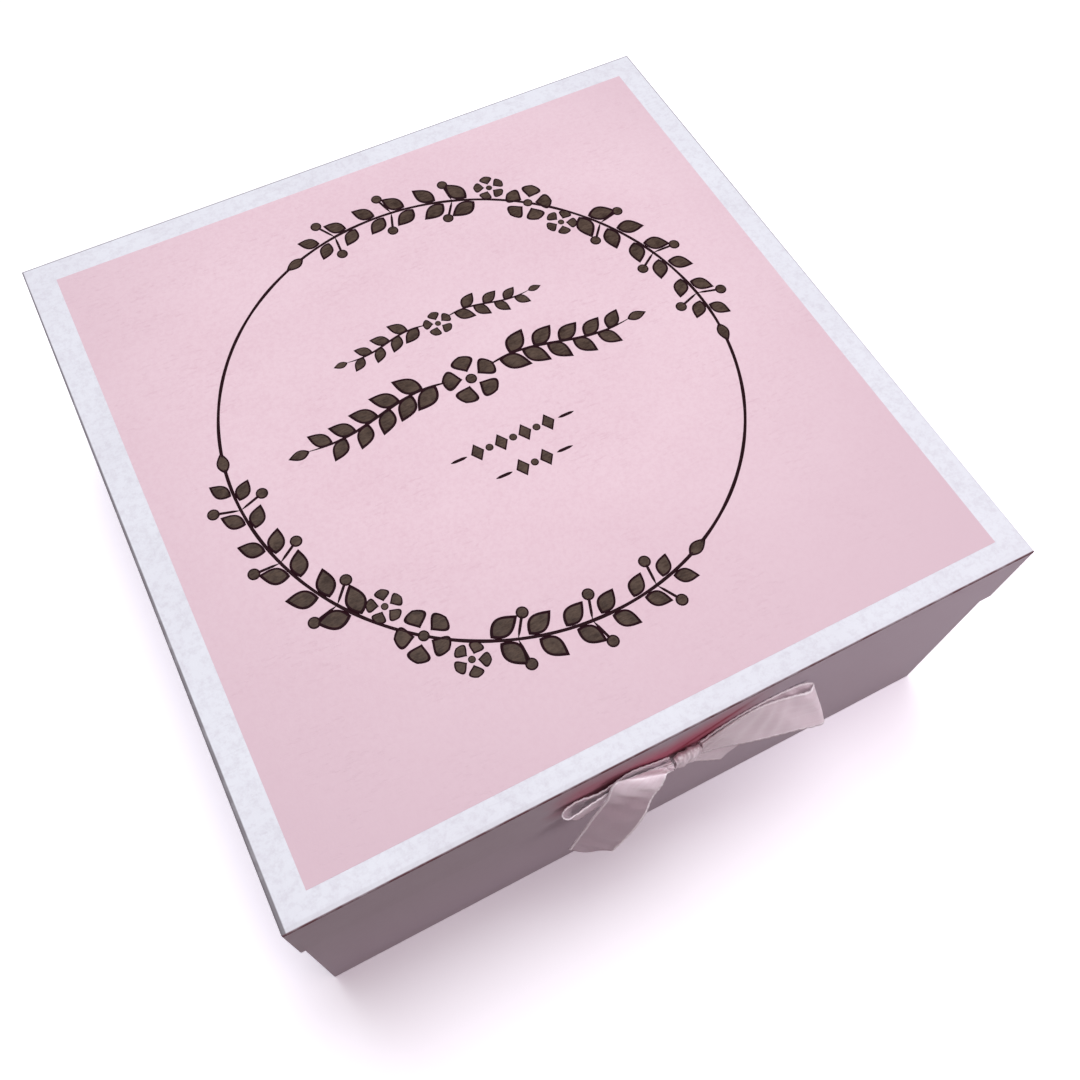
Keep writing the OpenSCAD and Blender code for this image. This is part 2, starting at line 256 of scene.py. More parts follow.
def pink_shade_mask(s, place):
    """1 where pinkish shade and light bounced from the ribbon are painted on the lid's front: a band over
    the bow, fading upwards.
    """
    cloud = s.times(s.noise(120, detail=3), PINK_SHADE_CLOUD)
    x = s.plus(place["X"], cloud)
    z = s.plus(place["Z"], cloud)
    over_bow = s.minus(z, s.times(s.math("ABSOLUTE", x), PINK_SHADE_RISE))
    return s.times(
        s.ramp(over_bow, *PINK_SHADE_ABOVE_Z),
        s.ramp(z, *PINK_SHADE_BELOW_Z),
        s.ramp(x, *PINK_SHADE_LEFT_X),
        s.ramp(x, *PINK_SHADE_MIDDLE_X, 0.75, 1.0),
        s.ramp(x, *PINK_SHADE_RIGHT_X),
    )


def contact_shadow_line(s, place):
    """1 along a painted dark red contact shadow by the ribbon's edge, from the knot up to the right."""
    line = s.plus(s.times(place["X"], SHADOW_LINE_SLOPE), SHADOW_LINE_Z)
    off = s.math("ABSOLUTE", s.minus(place["Z"], line))
    ends = s.times(s.ramp(place["X"], *SHADOW_LINE_LEFT_X), s.ramp(place["X"], *SHADOW_LINE_RIGHT_X))
    return s.times(s.ramp(off, *SHADOW_LINE_OFF), ends)


def edge_lines(s, place, top, colour):
    """Painted grey shade on the lid's rounded top edges, widest on the left, faint on the back and right; a
    brown front line.
    """
    breaks = s.noise(150, detail=4, roughness=0.6)
    right = s.times(s.ramp(place["X"], *EDGE_RIGHT_X), s.ramp(place["Y"], *EDGE_RIGHT_Y, 0.1, 0.9))
    behind = s.times(s.ramp(place["Y"], *EDGE_BACK_Y), EDGE_BACK_SHARE)
    colour = s.mix(s.times(top, s.math("MAXIMUM", right, behind)), colour, EDGE_SHADE_GREY)
    inward = s.plus(place["X"], s.times(place["Y"], EDGE_LEFT_WIDENS))
    left = s.times(s.ramp(inward, *EDGE_LEFT_X), s.ramp(breaks, 0.3, 0.5, 0.8, 1.0))
    colour = s.mix(s.times(top, left), colour, EDGE_SHADE_GREY)
    ahead = s.times(s.ramp(place["Y"], *EDGE_FRONT_Y), s.ramp(breaks, 0.35, 0.6, 0.65, 1.0))
    return s.mix(s.times(top, ahead), colour, EDGE_BROWN)


def paint_material(name, along, on_lid_front=False):
    """Satin white paint on a board, with painted shade on the box's front and painted pink shade over the
    bow.
    """
    material, s = new_material(name)
    normal, pores = board_relief(s, along)
    cloud = s.noise(35, detail=4, roughness=0.6)
    fleck = s.noise(420, detail=3, roughness=0.7)
    thin = s.plus(s.ramp(cloud, 0.35, 0.75, 0.0, 0.35), s.ramp(fleck, 0.45, 0.70, 0.0, 0.65))
    thin = s.plus(thin, s.times(pores, 0.25), clamp=True)
    colour = s.mix(thin, PAINT, PAINT_THIN)
    breaks = s.noise(260, detail=5, roughness=0.7)
    wear = s.times(worn_edge(s, WEAR_REACH), s.ramp(breaks, 0.42, 0.60, 0.25, 0.90))
    colour = s.mix(wear, colour, PAINT_WORN)
    place = s.axes()
    front = s.ramp(place["Y"], *FRONT_Y)
    top = s.ramp(place["Z"], *LID_TOP_Z)
    # Painted shade on the front boards, deeper to the left and higher up, less on the lid's top rim.
    deep_shade = s.times(s.ramp(place["X"], *DEEP_SHADE_X), s.ramp(place["Z"], *DEEP_SHADE_Z))
    front_shade = s.times(front, s.minus(0.95, s.times(top, 0.7)))
    colour = s.mix(front_shade, colour, s.mix(deep_shade, PAINT_FRONT_SHADE, PAINT_FRONT_DEEP_SHADE))
    if on_lid_front:
        below = s.times(front, s.minus(1.0, top))
        # Painted pinkish shade and bounced light from the ribbon over the bow.
        colour = s.mix(s.times(pink_shade_mask(s, place), below), colour, PAINT_PINK_SHADE)
        # Painted contact shadow along the ribbon's edge.
        colour = s.mix(s.times(contact_shadow_line(s, place), below), colour, PAINT_CONTACT_SHADOW)
        # Painted shade along the lid's top edges, darkest on the left, and a brown line along the front
        # edge.
        colour = edge_lines(s, place, top, colour)
    s.output(s.principled({
        "Base Color": colour,
        "Roughness": s.ramp(fleck, 0.3, 0.7, *PAINT_ROUGH),
        "Normal": normal,
        "Specular IOR Level": s.ramp(front, 0, 1, GLOSS, GLOSS_FRONT),
    }))
    return material


def print_material():
    """Matt pink ink, soaked a little unevenly into the top board, with shallow dents and painted shade away
    from a painted pool of light.
    """
    material, s = new_material("print_pink")
    normal, pores = board_relief(s, ALONG_X)
    cloud = s.noise(14, detail=5, roughness=0.55, stretch=(1, 1.6, 1))
    fleck = s.noise(700, detail=3, roughness=0.7)
    streak = s.noise(1200, detail=3, roughness=0.6, stretch=(0.22, 1, 1))
    patch = s.noise(45, detail=3)
    dents = s.times(s.ramp(streak, 0.58, 0.67), s.ramp(patch, 0.46, 0.60))
    thin = s.plus(s.ramp(cloud, 0.3, 0.75, 0.0, 0.52), s.ramp(fleck, 0.4, 0.70, 0.0, 0.50))
    thin = s.plus(thin, s.times(dents, 0.5))
    thin = s.plus(thin, s.times(pores, 0.18), clamp=True)
    # Painted pool of light on the print, with painted shade towards the front and the sides.
    ends = {0: s.coordinates(), 1: PRINT_LIGHT_POOL_AT}
    from_light_pool = s.add("VectorMath", ends, operation="DISTANCE").outputs["Value"]
    s.output(s.principled({
        "Base Color": s.mix(s.ramp(from_light_pool, *PRINT_LIGHT_FALLOFF), s.mix(thin, PINK, PINK_THIN), PINK_SHADED),
        "Roughness": s.ramp(fleck, 0.3, 0.7, *PINK_ROUGH),
        "Normal": s.bump(s.minus(1.0, dents), 0.12 * MM, 0.4, normal),
        "Specular IOR Level": PINK_GLOSS,
    }))
    return material


def ink_material(name, dark, pale, rough, gloss):
    """Raised printing ink with brushed-looking streaks between two tones."""
    material, s = new_material(name)
    streaks = s.noise(520, detail=5, roughness=0.65, stretch=(1, 3, 1))
    blot = s.noise(230, detail=3)
    tone = s.plus(s.times(streaks, 0.6), s.times(blot, 0.4))
    s.output(s.principled({
        "Base Color": s.mix(s.ramp(tone, 0.38, 0.62), dark, pale),
        "Roughness": s.ramp(streaks, 0.3, 0.7, rough - 0.06, rough + 0.08),
        "Normal": s.bump(streaks, 0.12 * MM, 0.8),
        "Specular IOR Level": gloss,
    }))
    return material


def nickel_material(name, along):
    """Plated steel with hairlines drawn out along one axis."""
    material, s = new_material(name)
    lines = s.noise(3200, detail=3, roughness=0.6, stretch=stretched(along, HAIRLINE_SHARE))
    haze = s.noise(160, detail=4, roughness=0.6)
    s.output(s.principled({
        "Base Color": s.mix(s.ramp(haze, 0.35, 0.7), NICKEL, NICKEL_HAZY),
        "Metallic": 1.0,
        "Roughness": s.ramp(haze, 0.3, 0.7, *NICKEL_ROUGH),
        "Normal": s.bump(lines, 0.02 * MM, 0.35),
    }))
    return material


RIBBON_W = 16 * MM
SELVAGE = (0.75 * MM, 0.55 * MM)
WEFT_PITCH = 0.22 * MM
BEAD_PITCH = 0.95 * MM
SATIN = (0.99, 0.87, 0.94)
SATIN_DEEP = (0.90, 0.73, 0.81)
# Painted shade on the satin, for the parts of the bow that lie in shade.
SATIN_SHADE = (0.66, 0.545, 0.575)
SATIN_EDGE = (1.0, 0.96, 1.0)
SATIN_THROUGH = (0.60, 0.50, 0.55)
SATIN_SHEEN = (1.0, 0.93, 0.95)
SATIN_ROUGH = (0.30, 0.42)
WARP_SHARE = 0.02


def ribbon_material(name, sheer=(0.12, 0.12), painted_shade=(0.0, 0.0), over=(0, 1)):
    """Thin pink satin. The UV map is in metres: U across from the middle, V along.

    sheer is the share of light that goes through, and painted_shade that of a painted greyer shade,
    at the two places along in over. The left selvage's lighter tone fades with the painted shade.
    """
    material, s = new_material(name)
    flat = s.add("SeparateXYZ", {"Vector": s.add("UVMap").outputs["UV"]}).outputs
    across, along = flat["X"], flat["Y"]
    warp = s.add("CombineXYZ", {"X": across, "Y": s.times(along, WARP_SHARE)}).outputs[0]
    yarns = s.noise(5200, detail=2, vector=warp)
    broad = s.noise(900, detail=3, vector=warp)
    weft = s.math("SINE", s.times(along, math.tau / WEFT_PITCH))
    beads = s.math("SINE", s.times(along, math.tau / BEAD_PITCH))
    edge = s.ramp(s.math("ABSOLUTE", across), *(RIBBON_W / 2 - inset for inset in SELVAGE))
    dots = s.times(edge, s.ramp(beads, -0.4, 0.8, 0.6, 1.0))
    # Painted shade: a greyer tone by the run along the ribbon, which also dims the left selvage.
    shade_share = s.ramp(along, *over, *painted_shade)
    selvage_shade = s.times(shade_share, s.ramp(across, 1 * MM, -1 * MM))
    colour = s.mix(s.ramp(broad, 0.35, 0.65, 0.0, 0.8), SATIN, SATIN_DEEP)
    colour = s.mix(shade_share, colour, SATIN_SHADE)
    colour = s.mix(s.times(dots, s.minus(1.0, selvage_shade)), colour, SATIN_EDGE)
    crumple = s.noise(380, detail=3, roughness=0.6)
    weave = s.plus(s.plus(yarns, s.times(weft, 0.12)), s.times(dots, 1.6))
    normal = s.bump(weave, 0.05 * MM, 0.5, s.bump(crumple, 0.35 * MM, 0.55))
    front = s.principled({
        "Base Color": colour,
        "Roughness": s.ramp(yarns, 0.3, 0.7, *SATIN_ROUGH),
        "Normal": normal,
        "Specular IOR Level": 1.0,
        "IOR": 1.7,
        "Coat Weight": 0.9,
        "Coat Roughness": 0.36,
        "Sheen Weight": 1.0,
        "Sheen Roughness": 0.45,
        "Sheen Tint": (*SATIN_SHEEN, 1.0),
    })
    through = s.add("BsdfTranslucent", {"Color": (*SATIN_THROUGH, 1.0), "Normal": normal}).outputs[0]
    share = s.times(s.ramp(along, *over, *sheer), s.minus(1.0, edge))
    s.output(s.add("MixShader", {0: share, 1: front, 2: through}).outputs[0])
    return material


def dress_cad_nodes():
    """Materials for the CAD nodes that stay in view, by the way their grain runs."""
    along_x = paint_material("paint_along_x", ALONG_X)
    along_y = paint_material("paint_along_y", ALONG_Y)
    lid_paint = paint_material("paint_lid_front", ALONG_X, on_lid_front=True)
    plate = nickel_material("nickel_plate", ALONG_X)
    round_parts = nickel_material("nickel_round", ALONG_Z)
    for name, node in NODES.items():
        if name == "print_field":
            material = print_material()
        elif name in ("lid_front", "lid_top"):
            material = lid_paint
        elif "screw" in name or "pin" in name:
            material = round_parts
        elif name.startswith("hinge"):
            material = plate
        elif name.endswith(("left", "right")):
            material = along_y
        else:
            material = along_x
        node.data.materials.clear()
        node.data.materials.append(material)


# ---- Building meshes --------------------------------------------------------

def mesh_from(name, bm):
    bmesh.ops.recalc_face_normals(bm, faces=bm.faces)
    mesh = bpy.data.meshes.new(name)
    bm.to_mesh(mesh)
    bm.free()
    return mesh


def make_object(name, mesh, materials, body):
    """A smoothly shaded piece that rides on a body."""
    for material in materials:
        mesh.materials.append(material)
    for face in mesh.polygons:
        face.use_smooth = True
    piece = bpy.data.objects.new(name, mesh)
    bpy.context.scene.collection.objects.link(piece)
    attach(piece, body)
    return piece


def smooth_step(x):
    x = min(max(x, 0.0), 1.0)
    return x * x * (3 - 2 * x)


def spline(points, t):
    """The point at t, from 0 to 1, of the smooth curve through the points."""
    last = len(points) - 1
    i = min(int(t * last), last - 1)
    u = t * last - i
    p = [np.array(points[min(max(k, 0), last)], float) for k in range(i - 1, i + 3)]
    if i == 0:
        p[0] = 2 * p[1] - p[2]
    if i == last - 1:
        p[3] = 2 * p[2] - p[1]
    return 0.5 * (
        2 * p[1]
        + (p[2] - p[0]) * u
        + (2 * p[0] - 5 * p[1] + 4 * p[2] - p[3]) * u ** 2
        + (3 * p[1] - p[0] - 3 * p[2] + p[3]) * u ** 3
    )


# ---- Ribbon bow -------------------------------------------------------------
# Sizes of the bow are in millimetres. Its points are about the knot's middle on the
# lid's face: to the right, out from the lid, and up. Each ribbon is given by its upper
# and lower edge, from the knot onwards.

LID_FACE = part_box("lid_front")[0]
KNOT_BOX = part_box("bow_knot")
KNOT_MIDDLE = (KNOT_BOX[0] + KNOT_BOX[1]) / 2
BOW_AT = Vector((KNOT_MIDDLE.x, LID_FACE.y, KNOT_MIDDLE.z))
RIBBON_T = 0.3
RIBBON_ACROSS = 24
RIBBON_ALONG = 300

PLEATS = 0.45
PLEAT_WAVES = 3.5
PLEAT_REACH = 7.0
SLACK = 0.30
CREASE = 0.22
RIPPLE = 0.09
RIPPLE_PITCH = 2.6
SELVAGE_FROM = 0.93

LOOP_LEFT = (
    [(-5.6, 0.9, 3.7), (-12, 0.8, 7), (-21, 0.8, 11.5), (-31, 1.5, 8.5), (-38.5, 0.8, 9), (-43.8, 1.4, 9.2),
     (-45, 2.6, 7.5), (-43.3, 3.9, 6.8), (-36, 3.2, 7.2), (-28, 2.4, 7), (-19, 1.9, 6.3), (-11, 1.9, 5),
     (-5.6, 2.2, 3.7)],
    [(-5.6, 0.9, -3.7), (-13, 0.5, -4), (-22, 0.4, -5.5), (-30, 0.4, -5.5), (-36, 0.5, -5.5),
     (-39.2, 1, -6.5), (-39.8, 1.9, -7.8), (-38.4, 2.6, -8.6), (-34, 2.3, -8.2), (-26, 1.9, -7.5),
     (-18, 1.8, -6.5), (-11, 1.9, -5), (-5.6, 2.2, -3.7)],
)
LOOP_RIGHT = (
    [(5.6, 0.9, 3.7), (12, 0.5, 7.5), (20, 0.4, 11), (29, 0.4, 12.5), (37, 0.4, 12), (43, 0.8, 11),
     (45.8, 2, 10), (43.5, 3.5, 9.5), (37.5, 2.5, 10), (31, 1.5, 11), (24, 1.2, 11.8), (15, 1.4, 9),
     (5.6, 2.2, 3.7)],
    [(5.6, 0.9, -3.7), (12, 1.4, -4), (20, 3, -4), (29, 5.8, -3.8), (37, 8.2, -3.6), (44, 10, -3.4),
     (47.6, 11.2, -3.8), (46.2, 12.1, -4.6), (37, 10, -4.3), (28, 8.1, -4), (20, 6.1, -3.8), (13, 3.9, -4),
     (5.6, 2.2, -3.7)],
)
TAIL_LEFT = (
    [(-5.6, 3.3, 3.7), (-13, 3.1, 9), (-20.5, 2.7, 13), (-28, 2.3, 14.5), (-30.5, 4, 6), (-35, 5.2, -3),
     (-39.5, 6.6, -12.5), (-43.4, 7.8, -21)],
    [(-5.6, 3.5, -3.7), (-8, 5, 5), (-11.2, 6.3, 12), (-13.5, 8, 8.5), (-16.5, 9, 2.5), (-20, 11.7, -4),
     (-24.5, 13, -16), (-29.5, 13.3, -29.5)],
)
TAIL_RIGHT = (
    [(0.3, 1.2, -5.6), (3.5, 2.2, -10), (9.3, 3.6, -14.5), (15.7, 5.0, -19)],
    [(7.7, 1.2, -5.6), (14.5, 1.0, -6), (21.5, 1.3, -7), (28, 2.0, -10)],
)


def bow_point(p):
    return BOW_AT + Vector((p[0], -p[1], p[2])) * MM


def ribbon_rows(edges, cup, knots_at):
    """Rows of points across the ribbon between its two edges, with their facing, run and share across.

    cup bows the section outwards, and knots_at lists the ends, 0 or 1, where the
    ribbon is gathered into pleats by the knot.
    """
    share = [i / RIBBON_ALONG for i in range(RIBBON_ALONG + 1)]
    upper = np.array([spline(edges[0], t) for t in share])
    lower = np.array([spline(edges[1], t) for t in share])
    middle = (upper + lower) / 2
    run = np.concatenate([[0], np.cumsum(np.linalg.norm(np.diff(middle, axis=0), axis=1))])
    heading = np.gradient(middle, axis=0)
    side = lower - upper
    facing = np.cross(side, heading)
    facing /= np.linalg.norm(facing, axis=1)[:, None]
    q = np.linspace(-1, 1, RIBBON_ACROSS + 1)
    near = np.zeros(len(share))
    for end in knots_at:
        distance = run if end == 0 else run[-1] - run
        near = np.maximum(near, np.exp(-(distance / PLEAT_REACH) ** 1.5))
    at_edge = np.clip((np.abs(q) - 0.8) / 0.2, 0, 1) ** 2
    rows = []
    for i, at in enumerate(run):
        pleats = PLEATS * near[i] * np.cos(math.pi * PLEAT_WAVES * q + 0.02 * at)
        slack = SLACK * (1 - near[i]) * np.sin(0.35 * at + 2.0 * q) * (1 - q * q)
        crease = CREASE * np.sin(0.8 * at - 3.3 * q + 1.7 * np.sin(0.21 * at)) * (1 - q ** 4)
        ripple = RIPPLE * np.sin(math.tau * at / RIPPLE_PITCH) * at_edge
        lift = cup * (1 - q * q) + pleats + slack + crease + ripple
        rows.append(middle[i] + np.outer(q, side[i] / 2) + np.outer(lift, facing[i]))
    return np.array(rows), facing, run, q


def cloth_quads(outer, inner, closed):
    """Faces of both sides and the rims of a cloth; closed joins its last row to its first."""
    count, width = len(outer), len(outer[0])
    quads = []
    for i in range(count if closed else count - 1):
        j = (i + 1) % count
        for k in range(width - 1):
            quads.append((outer[i][k], outer[i][k + 1], outer[j][k + 1], outer[j][k]))
            quads.append((inner[i][k], inner[j][k], inner[j][k + 1], inner[i][k + 1]))
        for k in (0, width - 1):
            quads.append((outer[i][k], outer[j][k], inner[j][k], inner[i][k]))
    for k in range(0 if closed else width - 1):
        for i in (0, count - 1):
            quads.append((outer[i][k], inner[i][k], inner[i][k + 1], outer[i][k + 1]))
    return quads


def make_cloth(name, node, sides, marks, satin, closed=False):
    """One piece of ribbon, as a thin solid in the place of a CAD node.

    sides holds the rows of points of its outer and inner side, and marks the place of
    each point on the flat ribbon, in metres.
    """
    bm = bmesh.new()
    uv = bm.loops.layers.uv.new("UVMap")
    outer, inner = [[[bm.verts.new(bow_point(p)) for p in row] for row in rows] for rows in sides]
    mark_of = {}
    for grid in (outer, inner):
        for row, row_marks in zip(grid, marks):
            mark_of.update(zip(row, row_marks))
    for quad in cloth_quads(outer, inner, closed):
        face = bm.faces.new(quad)
        for loop in face.loops:
            loop[uv].uv = mark_of[loop.vert]
    piece = make_object(name, mesh_from(name, bm), [satin], "lid")
    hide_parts(node)


def ribbon_piece(name, node, edges, satin, cup, knots_at=(0,)):
    """A woven ribbon between two edges, with beads along its thicker selvages."""
    rows, facing, run, q = ribbon_rows(edges, cup, knots_at)
    selvage = np.clip((np.abs(q) - SELVAGE_FROM) / 0.05, 0, 1)
    beads = 0.5 + 0.5 * np.sin(math.tau * run * MM / BEAD_PITCH)
    half = RIBBON_T / 2 * (1 + np.outer(0.35 + 0.65 * beads, selvage))
    lift = half[:, :, None] * facing[:, None, :]
    marks = [[(share * RIBBON_W / 2, at * MM) for share in q] for at in run]
    make_cloth(name, node, (rows + lift, rows - lift), marks, satin)


KNOT_W = (KNOT_BOX[1].x - KNOT_BOX[0].x) / MM
KNOT_H = (KNOT_BOX[1].z - KNOT_BOX[0].z) / MM
KNOT_OUT = (LID_FACE.y - KNOT_BOX[0].y) / MM
KNOT_BACK = 0.4
KNOT_ROUND = 21
KNOT_ROWS = 96
KNOT_ACROSS = 72
KNOT_INSET = 0.55
KNOT_BULGE = 0.35
KNOT_FOLD = 0.22
KNOT_FINE_FOLD = 0.12
KNOT_TUCK = 1.1
TUCK_FROM = 0.74
LID_GAP = 0.15


def knot_section(turn, inset):
    """Point (out, up) on the knot's oval section, inset mm inside it; turn from 0 to 1."""
    half_out = (KNOT_OUT - KNOT_BACK) / 2
    half_up = KNOT_H / 2 - 0.2
    c, s = math.cos(math.tau * turn), math.sin(math.tau * turn)
    out = (half_out - inset) * math.copysign(abs(c) ** 0.7, c)
    up = (half_up - inset) * math.copysign(abs(s) ** 0.6, s)
    return KNOT_BACK + half_out + out, up


def knot_profile(q, turn):
    """Place across the knot and inset, for q from -1 to 1 over the ribbon's width.

    The ribbon is bunched into soft folds, and its edges are tucked under.
    """
    tucked = smooth_step((abs(q) - TUCK_FROM) / (1 - TUCK_FROM))
    swing = 1.3 * math.sin(math.tau * turn)
    fold = KNOT_FOLD * math.cos(3.1 * math.pi * q + swing)
    fold += KNOT_FINE_FOLD * math.cos(7.3 * math.pi * q - 1.7 * swing)
    bulge = KNOT_BULGE * (1 - (q / 0.8) ** 2) if abs(q) < 0.8 else 0.0
    across = min(abs(q) / 0.80, 1.0) - 0.22 * tucked
    half = KNOT_W / 2 - 0.1 - 0.35 * math.cos(math.tau * turn) ** 2
    inset = KNOT_INSET - bulge + fold * (1 - tucked) + KNOT_TUCK * tucked ** 2
    return math.copysign(across * half, q), inset


def make_knot(satin):
    """The ribbon's crossing turn, drawn tight round the bow."""
    turns = [i / KNOT_ROWS for i in range(KNOT_ROWS)]
    shares = [2 * k / KNOT_ACROSS - 1 for k in range(KNOT_ACROSS + 1)]
    sides = []
    for layer in (0.0, RIBBON_T):
        rows = []
        for turn in turns:
            row = []
            for q in shares:
                right, inset = knot_profile(q, turn)
                out, up = knot_section(turn, inset + layer)
                row.append((right, max(out, LID_GAP), up))
            rows.append(row)
        sides.append(rows)
    marks = [[(q * RIBBON_W / 2, turn * KNOT_ROUND * MM) for q in shares] for turn in turns]
    make_cloth("ribbon_knot", "bow_knot", sides, marks, satin, closed=True)


def make_bow():
    satin = ribbon_material("ribbon_satin")
    # Copies of the satin with painted shade: even on the knot and right tail, growing towards the knot on
    # the right loop, and down the hanging tail.
    shaded = ribbon_material("ribbon_shaded", painted_shade=(0.5, 0.5))
    shading_to_knot = ribbon_material("ribbon_shade_to_knot", painted_shade=(0.15, 0.85), over=(48 * MM, 80 * MM))
    hanging = ribbon_material("ribbon_hanging", (0.04, 0.60), (0.0, 0.9), (22 * MM, 32 * MM))
    make_knot(shaded)
    ribbon_piece("ribbon_loop_left", "bow_loop_left", LOOP_LEFT, satin, cup=0.1, knots_at=(0, 1))
    ribbon_piece("ribbon_loop_right", "bow_loop_right", LOOP_RIGHT, shading_to_knot, cup=0.1, knots_at=(0, 1))
    ribbon_piece("ribbon_tail_left", "bow_tail_left", TAIL_LEFT, hanging, cup=0.35)
    ribbon_piece("ribbon_tail_right", "bow_tail_right", TAIL_RIGHT, shaded, cup=0.3)


# ---- Printed ornament -------------------------------------------------------
# A thin ring with two garlands of leaves, berries and blossoms, and in its middle two
# leafy sprays and two rows of lozenges. The ornament is in millimetres about the
# ring's middle, and stands a little proud of the pink field, as thick ink does.

PRINT_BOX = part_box("print_field")
RING_AT = (
    (PRINT_BOX[0].x + PRINT_BOX[1].x) / 2 / MM - 2.6,
    (PRINT_BOX[0].y + PRINT_BOX[1].y) / 2 / MM + 4.3,
)
RING_R = 91
LINE_W = 1.15
INK_DARK, INK_BROWN = 0, 1
# Rings of a raised motif: size, height in mm, and the ink between it and the ring before.
INK_RINGS = [
    (1.0, 0.0, INK_DARK),
    (0.98, 0.08, INK_DARK),
    (0.75, 0.10, INK_DARK),
    (0.71, 0.07, INK_BROWN),
    (0.42, 0.13, INK_BROWN),
]
INK_TOP = 0.15
# Share of the half width, and height in mm.
STROKE_SECTION = ((-1, 0.0), (-0.7, 0.06), (0, 0.10), (0.7, 0.06), (1, 0.0))
# Dark and pale tone, roughness and gloss.
INK_OF_LINES = ((0.010, 0.0005, 0.002), (0.018, 0.002, 0.006), 0.5, 0.05)
INK_OF_FILLS = ((0.034, 0.017, 0.012), (0.098, 0.064, 0.047), 0.38, 0.08)

# Angles about the ring are in degrees from X.
GARLAND_FRONT, GARLAND_BACK = 232, 52
GARLAND_PAIRS = 6
GARLAND_START = 14
GARLAND_PITCH = 7.6
LEAF_L, LEAF_W = 11.4, 7.3
LEAF_LEAN = 40
TIP_LEAF_L, TIP_LEAF_W = 8.5, 4.6
BERRY_START = 18.6
BERRY_R = 2.1
BERRY_OUT = 8.6
STALK_W = 0.9
BLOSSOM_R = 9.4
SIDE_BLOSSOM_R = 6.2
SIDE_BLOSSOM_TURN = 9.6
SIDE_BLOSSOM_OUT = 6

# Middle, reach of a stem, its leaves and their length, its width, and the blossom's radius.
SPRAYS = [
    ((0, 8), 62, 10, 13, 1.1, 10.5),
    ((0, 35), 36, 7, 9, 0.8, 5.6),
]
SPRAY_LEAN = 42

LOZENGE = ((2.5, 0), (0, 3.6), (-2.5, 0), (0, -3.6))
LOZENGE_PITCH = 9
DOT_R = 1.4
DASH_OFF, DASH_L, DASH_W = 4, 6, 1.1
# Middle of a row and its number of lozenges.
LOZENGE_ROWS = [((2, -20), 4), ((4, -32), 2)]


def ink_point(x, y, height):
    return Vector(((RING_AT[0] + x) * MM, (RING_AT[1] + y) * MM, PRINT_BOX[1].z + height * MM))


def polar(angle, radius):
    return (radius * math.cos(math.radians(angle)), radius * math.sin(math.radians(angle)))


def place_points(points, at, turn=0.0):
    """Points turned by turn degrees and moved to at."""
    c, s = polar(turn, 1.0)
    return [(at[0] + x * c - y * s, at[1] + x * s + y * c) for x, y in points]


def stamp(bm, outline, core):
    """A raised motif with a dark line round it, drawn in rings that shrink towards core."""
    rings = []
    for share, height, _ in INK_RINGS:
        ring = [(core[0] + (x - core[0]) * share, core[1] + (y - core[1]) * share) for x, y in outline]
        rings.append([bm.verts.new(ink_point(x, y, height)) for x, y in ring])
    count = len(outline)
    for (_, _, ink), low, high in zip(INK_RINGS[1:], rings, rings[1:]):
        for k in range(count):
            j = (k + 1) % count
            bm.faces.new((low[k], low[j], high[j], high[k])).material_index = ink
    top = bm.verts.new(ink_point(*core, INK_TOP))
    for k in range(count):
        bm.faces.new((rings[-1][k], rings[-1][(k + 1) % count], top)).material_index = INK_BROWN


def stroke(bm, path, width=LINE_W, closed=False):
    """A raised line along a path, with a domed section and tapered ends."""
    count = len(path)
    rows = []
    for i, (x, y) in enumerate(path):
        ahead = path[(i + 1) % count] if closed else path[min(i + 1, count - 1)]
        behind = path[i - 1] if closed else path[max(i - 1, 0)]
        along = Vector((ahead[0] - behind[0], ahead[1] - behind[1])).normalized()
        taper = 1.0 if closed else min(1.0, 0.25 + 4.0 * min(i, count - 1 - i) / count)
        half = width / 2 * taper * (1 + 0.12 * math.sin(0.37 * i) * math.sin(0.11 * i))
        rows.append([
            bm.verts.new(ink_point(x - along.y * half * k, y + along.x * half * k, height))
            for k, height in STROKE_SECTION
        ])
    for i in range(count if closed else count - 1):
        a, b = rows[i], rows[(i + 1) % count]
        for k in range(len(STROKE_SECTION) - 1):
            bm.faces.new((a[k], b[k], b[k + 1], a[k + 1]))


def mirrored(upper, share=1.0):
    """A closed outline from its upper edge along X, with a lower edge of a share of its height."""
    return upper[::-1] + [(x, -share * y) for x, y in upper[1:-1]]


def leaf(bm, at, turn, length, width):
    """A pointed leaf with its stalk at the given place."""
    steps = 14
    upper = []
    for i in range(steps + 1):
        upper.append((length * i / steps, width / 2 * math.sin(math.pi * (i / steps) ** 0.85)))
    core = place_points([(length * 0.45, 0)], at, turn)[0]
    stamp(bm, place_points(mirrored(upper, 0.9), at, turn), core)


def berry(bm, at, radius):
    sides = 20
    stamp(bm, place_points([polar(360 * i / sides, radius) for i in range(sides)], at), at)


def petal(bm, at, turn, length, width):
    """A round-ended petal, narrow at the given place."""
    steps = 16
    upper = []
    for i in range(steps + 1):
        upper.append((length * i / steps, width / 2 * math.sin(math.pi * (i / steps) ** 1.5) ** 0.75))
    core = place_points([(length * 0.6, 0)], at, turn)[0]
    stamp(bm, place_points(mirrored(upper), at, turn), core)


def blossom(bm, at, turn, radius):
    """Five petals about a berry, with a little space between them."""
    eye = 0.20 * radius
    gap = 1.45 * eye
    for i in range(5):
        angle = turn + 72 * i
        petal(bm, place_points([(gap, 0)], at, angle)[0], angle, radius - gap, 0.80 * radius)
    berry(bm, at, eye)


